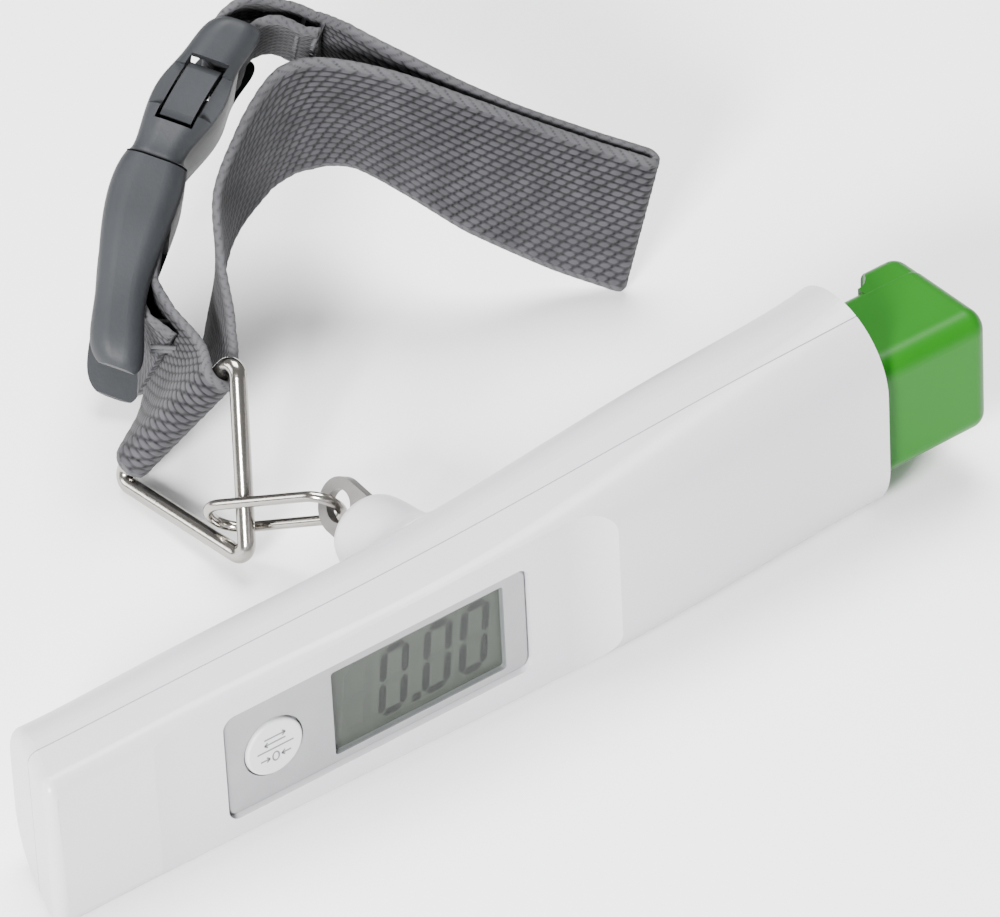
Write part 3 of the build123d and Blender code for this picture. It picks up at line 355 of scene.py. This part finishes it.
# The doubled-back layer lies under the first one by these gaps, counted from the far fold.
BACK_GAPS, FOLD_SLACK = [2.45, 2.5, 2.6, 4.2, 7.0], 1.2


def in_buckle(x, y, z=0.0, width=(0, 0, 1)):
    """A strap place given in the buckle's frame."""
    axes = (BUCKLE_X, BUCKLE_Y, BUCKLE_Z)
    point = BUCKLE_START + sum(a * k for a, k in zip(axes, (x, y, z)))
    return point, unit(sum(a * k for a, k in zip(axes, width)))


def round_bar(middle, start, end, step):
    """Strap places round one of the buckle's bars."""
    made = []
    for degrees in range(start, end + (1 if step > 0 else -1), step):
        turn = math.radians(degrees)
        made.append(in_buckle(middle[0] + BAR_TURN * math.cos(turn), middle[1] + BAR_TURN * math.sin(turn)))
    return made


def round_ring():
    """Strap places round the ring's straight side."""
    middle = np.array(RING_TIP) + RING_RUN * RING_HIGH
    made = []
    for degrees in range(-90, 91, 30):
        turn = math.radians(degrees)
        offset = RING_SIDE * math.sin(turn) - RING_LEAVE * math.cos(turn)
        made.append((middle + offset * RING_TURN, RING_Y))
    return made


def strap_places():
    """All the places along the strap, from its tail at the plug to its tail at the socket."""
    over = [(np.array(p), unit(w)) for p, w in OVER_TOP]
    out_side = []
    for k in range(1, 6):
        point, width = over[-k]
        ahead = over[-k + 1][0] if k > 1 else point + (point - over[-2][0])
        normal = unit(np.cross(ahead - over[-k - 1][0], width))
        out_side.append((point - normal * BACK_GAPS[k - 1], width))
    last, width = over[-1]
    run = unit(last - over[-2][0])
    middle = (last + out_side[0][0]) / 2
    across = last - middle
    fold = []
    for degrees in (0, 35, 90, 145, 180):
        turn = math.radians(degrees)
        out = np.linalg.norm(across) * math.sin(turn) + FOLD_SLACK
        fold.append((middle + run * out + across * math.cos(turn), width))
    ring_side = round_ring()
    near_ring = (ring_side[0][0] + RING_LEAVE * 7.0, unit((0.10, -0.53, 0.84)))
    return (
        [in_buckle(4.6, -5.0, width=(0.25, -0.1, 0.96)), in_buckle(9.0, -1.5), in_buckle(14.0, 2.9)]
        + round_bar(PLUG_BAR, 90, -90, -30)
        + [in_buckle(14.6, -0.6), in_buckle(9.4, -3.9, width=(0.15, -0.05, 0.99)), near_ring]
        + ring_side
        + over
        + fold
        + out_side
        + [
            in_buckle(59.4, -10.4, -5.8, (0.1, 0.08, 0.98)),
            in_buckle(60.0, -4.8, -3.0),
            in_buckle(58.6, 0.2, -1.0),
            in_buckle(54.8, 2.9),
        ]
        + round_bar(SOCKET_BAR, 90, 270, 30)
        + [
            in_buckle(54.4, -1.7),
            in_buckle(57.3, -4.6, -2.0),
            in_buckle(57.6, -9.0, -4.5),
            in_buckle(57.2, -12.0, -5.5, (0.1, 0.08, 0.98)),
        ]
    )


def smooth_places(places, spacing):
    """A smooth curve through the places, with a place about every spacing millimetres."""
    points, widths = [], []
    for k in range(len(places) - 1):
        p1, w1 = places[k]
        p2, w2 = places[k + 1]
        p0 = places[k - 1][0] if k else p1 * 2 - p2
        p3 = places[k + 2][0] if k + 2 < len(places) else p2 * 2 - p1
        span = np.linalg.norm(p2 - p1)
        out = (p2 - p0) * (span / (span + np.linalg.norm(p1 - p0)))
        into = (p3 - p1) * (span / (np.linalg.norm(p3 - p2) + span))
        steps = max(2, int(round(span / spacing)))
        for step in range(steps):
            t = step / steps
            a, b = 2 * t**3 - 3 * t**2 + 1, t**3 - 2 * t**2 + t
            c, d = 3 * t**2 - 2 * t**3, t**3 - t**2
            points.append(p1 * a + out * b + p2 * c + into * d)
            widths.append(unit(w1 * (1 - t) + w2 * t))
    points.append(places[-1][0])
    widths.append(places[-1][1])
    return np.array(points), np.array(widths)


# The weave, in millimetres: row and stitch pitch, relief, braided edge with its knots, and the mesh.
ROW, DASH, RELIEF = 1.2, 2.0, 0.16
EDGE, EDGE_FADE, EDGE_ROUND, KNOT, EDGE_LIFT = 1.1, 0.3, 0.8, 1.9, 0.45
SPACING, CELLS, MARGIN = 0.33, 84, 0.12


def weave(along, across):
    """Height of the weave, 0 to 1: rows of staggered stitches, and a knotted braid at each edge."""
    row = np.floor((across + WIDE / 2) / ROW)
    in_row = (across + WIDE / 2) / ROW - row
    phase = np.where(row % 2 == 0, 0.0, 0.5)
    lean = 0.22 * np.sin(2 * np.pi * in_row)
    stitch = np.abs(np.sin(np.pi * (along / DASH + phase + lean * 0.4))) ** 0.55
    face = stitch * np.sin(np.pi * np.clip(in_row, 0.02, 0.98)) ** 0.5
    knots = np.abs(np.sin(np.pi * along / KNOT + 2.2 * across)) ** 0.6
    near_edge = np.clip((np.abs(across) - (WIDE / 2 - EDGE - EDGE_FADE)) / EDGE_FADE, 0, 1)
    return face * (1 - near_edge) + knots * near_edge, near_edge


def webbing():
    """The strap as a closed woven ribbon along its places."""
    points, widths = smooth_places(strap_places(), SPACING)
    step = np.linalg.norm(np.diff(points, axis=0), axis=1)
    along = np.concatenate([[0], np.cumsum(step)])
    run = np.gradient(points, axis=0)
    normals = np.cross(run, widths)
    normals /= np.linalg.norm(normals, axis=1)[:, None]
    across = np.linspace(-WIDE / 2 + MARGIN, WIDE / 2 - MARGIN, CELLS)
    past_flat = np.clip(np.abs(across) - (WIDE / 2 - EDGE_ROUND), 0, 1) / EDGE_ROUND
    rounding = np.sqrt(np.clip(1 - past_flat**2, 0.02, 1))
    count, cells = len(points), len(across)
    verts, heights, edges = [], [], []
    for side in (1, -1):
        grid_u, grid_v = np.meshgrid(along + (0.0 if side > 0 else DASH / 2), across, indexing="ij")
        height, near_edge = weave(grid_u, grid_v)
        lift = (THICK / 2 - RELIEF + RELIEF * height) * rounding[None, :]
        place = points[:, None, :] + widths[:, None, :] * across[None, :, None]
        place = place + side * normals[:, None, :] * lift[:, :, None]
        verts.append(place.reshape(-1, 3))
        heights.append(height.reshape(-1))
        edges.append(near_edge.reshape(-1) * EDGE_LIFT)
    verts = (np.concatenate(verts) + SHIFT) * MM
    top = np.arange(count * cells).reshape(count, cells)
    low = top + count * cells
    quads = [np.stack([top[:-1, :-1], top[1:, :-1], top[1:, 1:], top[:-1, 1:]], axis=-1).reshape(-1, 4)]
    quads.append(np.stack([low[:-1, :-1], low[:-1, 1:], low[1:, 1:], low[1:, :-1]], axis=-1).reshape(-1, 4))
    long_edges = [(top[:, 0], low[:, 0]), (low[:, -1], top[:, -1])]
    end_edges = [(top[-1, :], low[-1, :]), (low[0, :], top[0, :])]
    for a, b in long_edges + end_edges:
        quads.append(np.stack([a[:-1], b[:-1], b[1:], a[1:]], axis=-1))
    faces = np.concatenate(quads).tolist()
    piece = add_mesh("strap_webbing_woven", verts, faces, FINISH["webbing_grey"], "strap")
    for name, values in (("height", heights), ("edge", edges)):
        layer = piece.data.attributes.new(name, "FLOAT", "POINT")
        layer.data.foreach_set("value", np.concatenate(values).astype(np.float32))
    piece.data.polygons.foreach_set("use_smooth", [True] * len(piece.data.polygons))
    return piece, along[-1]


strap, strap_length = webbing()
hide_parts("strap_webbing")

# ---- stage, light and camera ---------------------------------------------------------------
floor_mesh = bpy.data.meshes.new("floor")
REACH = 6.0
floor_corners = [(-REACH, -REACH, 0), (REACH, -REACH, 0), (REACH, REACH, 0), (-REACH, REACH, 0)]
floor_mesh.from_pydata(floor_corners, [], [(0, 1, 2, 3)])
floor = bpy.data.objects.new("floor", floor_mesh)
floor.location.z = -0.0002
bpy.context.collection.objects.link(floor)
floor_finish = material("floor", (0.93, 0.93, 0.93), 0.8, shine=0.2, grain=20, bump=0.0, mottle=0.004)
floor_mesh.materials.append(floor_finish)

world = bpy.data.worlds.new("studio")
world.use_nodes = True
world.node_tree.nodes["Background"].inputs["Color"].default_value = (1.0, 1.0, 1.0, 1)
world.node_tree.nodes["Background"].inputs["Strength"].default_value = 0.42
bpy.context.scene.world = world


def soft_light(name, place, size, power):
    """A square soft light that faces the object's middle."""
    data = bpy.data.lights.new(name, "AREA")
    data.energy = power
    data.size = size
    lamp = bpy.data.objects.new(name, data)
    lamp.location = place
    lamp.rotation_euler = (Vector((0, 0, 0.02)) - Vector(place)).to_track_quat("-Z", "Y").to_euler()
    bpy.context.collection.objects.link(lamp)


soft_light("key", (-0.95, -0.7, 0.6), 0.3, 60.0)
soft_light("fill", (-0.9, 0.55, 0.5), 0.5, 8.0)
soft_light("top", (0.25, 0.35, 1.3), 0.8, 44.0)

# The camera's axes in the row frame, and the place it looks at, in the model's own frame in millimetres.
VIEW_RIGHT, VIEW_UP, VIEW_BACK = (0.8106, -0.585, -0.0171), (0.3847, 0.512, 0.7685), (-0.441, -0.630, 0.640)
LOOK_AT, DISTANCE = np.array([16.2, 18.6, 29.5]), 1530.0
lens = bpy.data.cameras.new("camera")
lens.lens = 385.6
lens.sensor_width = 36.0
lens.clip_start = 0.01
lens.clip_end = 30.0
camera = bpy.data.objects.new("camera", lens)
turn = Matrix((VIEW_RIGHT, VIEW_UP, VIEW_BACK)).transposed()
place = (LOOK_AT + SHIFT + np.array(VIEW_BACK) * DISTANCE) * MM
camera.matrix_world = Matrix.Translation(Vector(place)) @ turn.to_4x4()
bpy.context.collection.objects.link(camera)
bpy.context.scene.camera = camera
